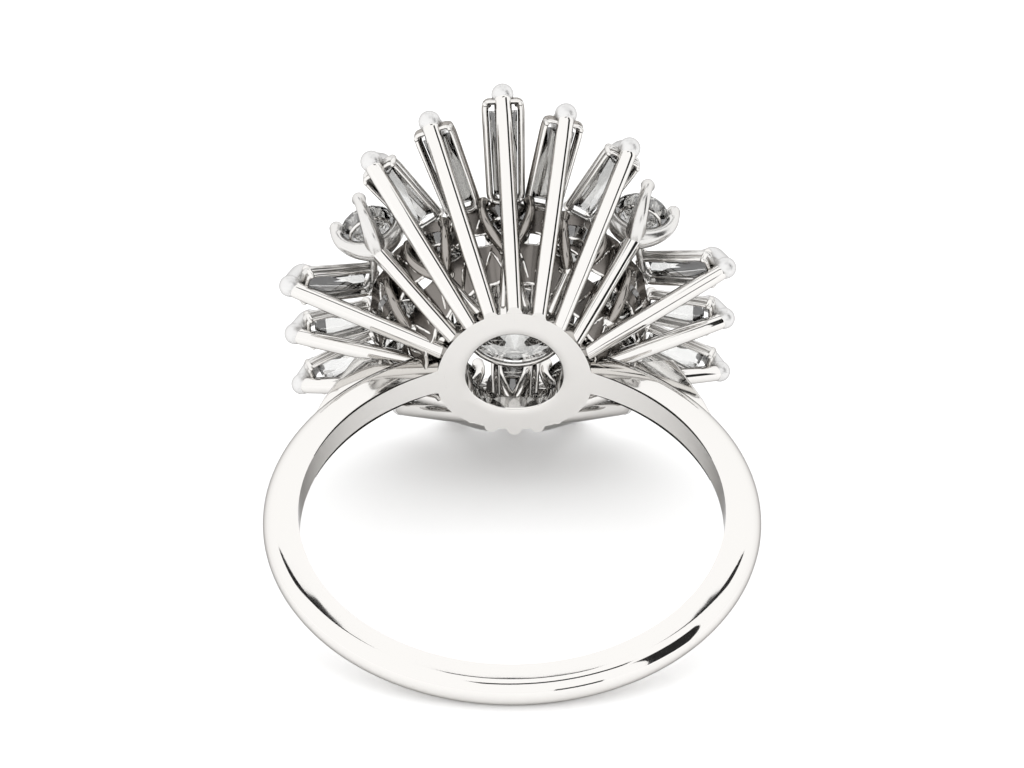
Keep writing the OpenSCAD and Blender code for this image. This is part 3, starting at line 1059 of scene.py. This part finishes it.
# %% [markdown]
# The shank is one long bar bent into a ring: a flat inside, flat sides, and a half-round back. Its
# outline is spun round the finger hole, with a gap where the head stands. Its thickness grows
# towards the head, so the outside is spun round a centre that is a little higher, and the inside is
# brought back to the finger hole.

# %% Shank
BAND_HALF = 0.6
BAND_OUT = 9.95
GROWTH = 0.15
HEAD_GAP = 36
INSIDE_SPARE, INSIDE_REACH = 0.3, 0.2

bm = bmesh.new()
section = [bm.verts.new((FINGER_R - INSIDE_SPARE, -BAND_HALF, 0))]
for n in range(13):
    t = math.radians(-90 + 15 * n)
    out, along = BAND_HALF * math.cos(t), BAND_HALF * math.sin(t)
    section.append(bm.verts.new((BAND_OUT - BAND_HALF + out, along, 0)))
section.append(bm.verts.new((FINGER_R - INSIDE_SPARE, BAND_HALF, 0)))
edges = [bm.edges.new(pair) for pair in zip(section, section[1:] + section[:1])]
bmesh.ops.transform(bm, matrix=turn(HEAD_GAP / 2 - 90, "Y"), verts=bm.verts[:])
bmesh.ops.spin(
    bm, geom=section + edges, cent=(0, 0, 0), axis=(0, 1, 0),
    angle=math.radians(360 - HEAD_GAP), steps=160, use_merge=False,
)
bmesh.ops.translate(bm, vec=(0, 0, GROWTH), verts=bm.verts[:])
for v in bm.verts:
    flat = Vector((v.co.x, 0, v.co.z))
    if flat.length < FINGER_R + INSIDE_REACH:
        v.co = flat.normalized() * FINGER_R + Vector((0, v.co.y, 0))
bmesh.ops.holes_fill(bm, edges=[e for e in bm.edges if e.is_boundary], sides=0)
settle_metal(bm, "shank", polished_gold, crease=40)

# %% [markdown]
# Where the flat side of the shank meets its inside, near the head, there is a thin black line. It
# is a dark reflection in the sharp edge, painted here: a hair-thin near-black wire along the edge,
# swelling in the middle of its run and fading out at both ends.

# %% Inner edges
EDGE_TOP, EDGE_RUN, EDGE_STATIONS = 66, 48, 24
EDGE_THIN, EDGE_SWELL = 0.01, 0.032


def edge_line(side, end):
    for n in range(EDGE_STATIONS + 1):
        t = math.radians(EDGE_TOP - EDGE_RUN * n / EDGE_STATIONS)
        thick = EDGE_THIN + EDGE_SWELL * math.sin(math.pi * n / EDGE_STATIONS)
        x, z = end * FINGER_R * math.cos(t), FINGER_R * math.sin(t)
        yield Vector((x, side * BAND_HALF, z)), thick


bm = bmesh.new()
for side in (-1, 1):
    for end in (-1, 1):
        draw_wire(bm, list(edge_line(side, end)), 8)
# painted reflection: the dark line along the shank's inner edge
settle_metal(bm, "inner_edges", painted_reflection_gold)

# %% [markdown]
# A shoulder fills the corner between the shank and the side wires. It is a flat outline, made as
# thick as it is on the real ring, with its edges softened by the polish.

# %% Shoulders
SHOULDER_HALF, SHOULDER_EDGE = 0.45, 0.12
SHOULDER_OUTLINE = [(8.3, 5.3), (7.95, 6.4), (6.8, 9.0), (3.0, 8.6), (5.0, 7.6)]

bm = bmesh.new()
for side in (-1, 1):
    face = bm.faces.new([bm.verts.new((side * x, -SHOULDER_HALF, z)) for x, z in SHOULDER_OUTLINE])
    out = bmesh.ops.extrude_face_region(bm, geom=[face], use_keep_orig=True)["geom"]
    far_side = [g for g in out if isinstance(g, bmesh.types.BMVert)]
    bmesh.ops.translate(bm, vec=(0, 2 * SHOULDER_HALF, 0), verts=far_side)
bmesh.ops.recalc_face_normals(bm, faces=bm.faces[:])
bmesh.ops.bevel(
    bm, geom=bm.edges[:], offset=SHOULDER_EDGE, offset_type="OFFSET", affect="EDGES",
    segments=3, profile=0.5, material=-1,
)
settle_metal(bm, "shoulders", polished_gold)

# %% [markdown]
# The base plate is a thick washer with a round window. Its top is flat, and its underside follows
# the finger hole, so it is dished. A circle is extruded from ring to ring round the profile, and
# the last ring is bridged to the first. Each ring is a little wider or narrower than the one
# before, and stands on the flat top or on the dished underside.

# %% Base plate
WINDOW_R = 2.1
PLATE_TOP = FINGER_R + 0.8
# radius, the face that the ring is measured from, and how far over that face it lies
PLATE_PROFILE = [
    (2.16, "top", 0), (3.2, "top", 0), (3.3, "top", -0.08), (3.3, "top", -0.3),
    (3.3, "top", -0.6), (3.3, "under", 0), (3.24, "under", 0), (2.9, "under", 0),
    (2.5, "under", 0), (2.18, "under", 0), (WINDOW_R, "under", 0.06),
]

bm = bmesh.new()
bmesh.ops.create_circle(bm, segments=96, radius=WINDOW_R)
first_ring = ring = bm.edges[:]
bmesh.ops.translate(bm, vec=(0, 0, PLATE_TOP), verts=bm.verts[:])
last_radius = WINDOW_R
for radius, face, rise in PLATE_PROFILE:
    corners, ring = extrude_ring(bm, ring)
    widen = radius / last_radius
    bmesh.ops.scale(bm, vec=(widen, widen, 1), verts=corners)
    for v in corners:
        under = math.sqrt(FINGER_R**2 - v.co.x**2)
        v.co.z = max(under, PLATE_TOP + rise) if face == "top" else under + rise
    last_radius = radius
bmesh.ops.bridge_loops(bm, edges=first_ring + ring)
settle_metal(bm, "base_plate", polished_gold, crease=40)

# %% [markdown]
# The floor is one wide white disc, so large that its edge never shows. Jewellery is often pictured
# on paper that is lit a little from below, which keeps its shadow faint, so the paper glows weakly.

# %% Floor
FLOOR_R = 2.5

bm = bmesh.new()
bmesh.ops.create_circle(bm, cap_ends=True, segments=64, radius=FLOOR_R)
floor_mesh = bpy.data.meshes.new("floor")
bm.to_mesh(floor_mesh)
bm.free()
floor = bpy.data.objects.new("floor", floor_mesh)
bpy.context.scene.collection.objects.link(floor)
paper, _, _, paper_shader = node_graph("white_paper")
paper_shader.inputs["Base Color"].default_value = (0.93, 0.93, 0.93, 1)
paper_shader.inputs["Roughness"].default_value = 0.9
paper_shader.inputs["Specular IOR Level"].default_value = 0.0
paper_shader.inputs["Emission Color"].default_value = (1, 1, 1, 1)
paper_shader.inputs["Emission Strength"].default_value = 0.12
floor_mesh.materials.append(paper)
print("floor", [round(v, 2) for v in floor.dimensions], "m")

# %% [markdown]
# Jewellery is lit by a tent of white cloth all round it, which leaves no hard shadow and makes the
# metal bright. Lamps behind the cloth could be modelled one by one, but an even white sky gives the
# same soft light with less noise. The standard view keeps white paper white.

# %% White tent
TENT_STRENGTH = 1.3

world = bpy.data.worlds.new("white_tent")
bpy.context.scene.world = world
world.use_nodes = True
tent = world.node_tree.nodes["Background"]
tent.inputs["Color"].default_value = (1, 1, 1, 1)
tent.inputs["Strength"].default_value = TENT_STRENGTH
bpy.context.scene.view_settings.view_transform = "Standard"
print("tent strength", TENT_STRENGTH)

# %% [markdown]
# In an all-white tent polished metal would have no shape. So a few narrow black cards, called
# flags, hang in it. They draw the thin black lines along the wires and on the shank. A flag has to
# hang just where a wire mirrors it, so each one is given by the direction in which the ring sees
# it, and they hang far off, where all the wires see them in nearly the same direction. The camera
# doesn't see them, and they cast no shadow.

# %% Flags
CARD_DISTANCE = 800

black_card, _, _, card_shader = node_graph("black_card")
card_shader.inputs["Base Color"].default_value = (0.01, 0.01, 0.01, 1)
card_shader.inputs["Roughness"].default_value = 1


def card(name, around, above, wide, high, roll):
    """A card given by angles as the ring sees them: around from the camera's side to the right,
    above the table, its width and height, and how far it is turned in its own plane."""
    bm = bmesh.new()
    bmesh.ops.create_grid(bm, x_segments=1, y_segments=1, size=1)
    half_sizes = [math.tan(math.radians(angle / 2)) for angle in (wide, high)]
    half_wide, half_high = [CARD_DISTANCE * MM * half for half in half_sizes]
    bmesh.ops.scale(bm, vec=(half_wide, half_high, 1), verts=bm.verts)
    aim = Matrix.Translation(FINGER_MIDDLE) @ turn(around, "Z") @ turn(90 - above, "X")
    hang = aim @ shift(0, 0, CARD_DISTANCE * MM) @ turn(roll, "Z")
    bmesh.ops.transform(bm, matrix=hang, verts=bm.verts)
    mesh = bpy.data.meshes.new(name)
    bm.to_mesh(mesh)
    bm.free()
    mesh.materials.append(black_card)
    piece = bpy.data.objects.new(name, mesh)
    bpy.context.scene.collection.objects.link(piece)
    piece.visible_camera = False
    piece.visible_diffuse = False
    piece.visible_shadow = False


CARDS = [
    # name, around, above, width, height, roll
    ("flag_overhead", 180, 78.6, 9, 4.5, 0),
    ("flag_overhead_left", -133, 66, 17, 7, 133),
    ("flag_overhead_right", 133, 66, 17, 7, -133),
    ("flag_side", 63, 24.5, 22, 53, 0),
    ("flag_low", 25, -2, 18, 22, 0),
    ("flag_high", 18, 67, 30, 9, 0),
]
for row in CARDS:
    card(*row)
print("cards:", [row[0] for row in CARDS])
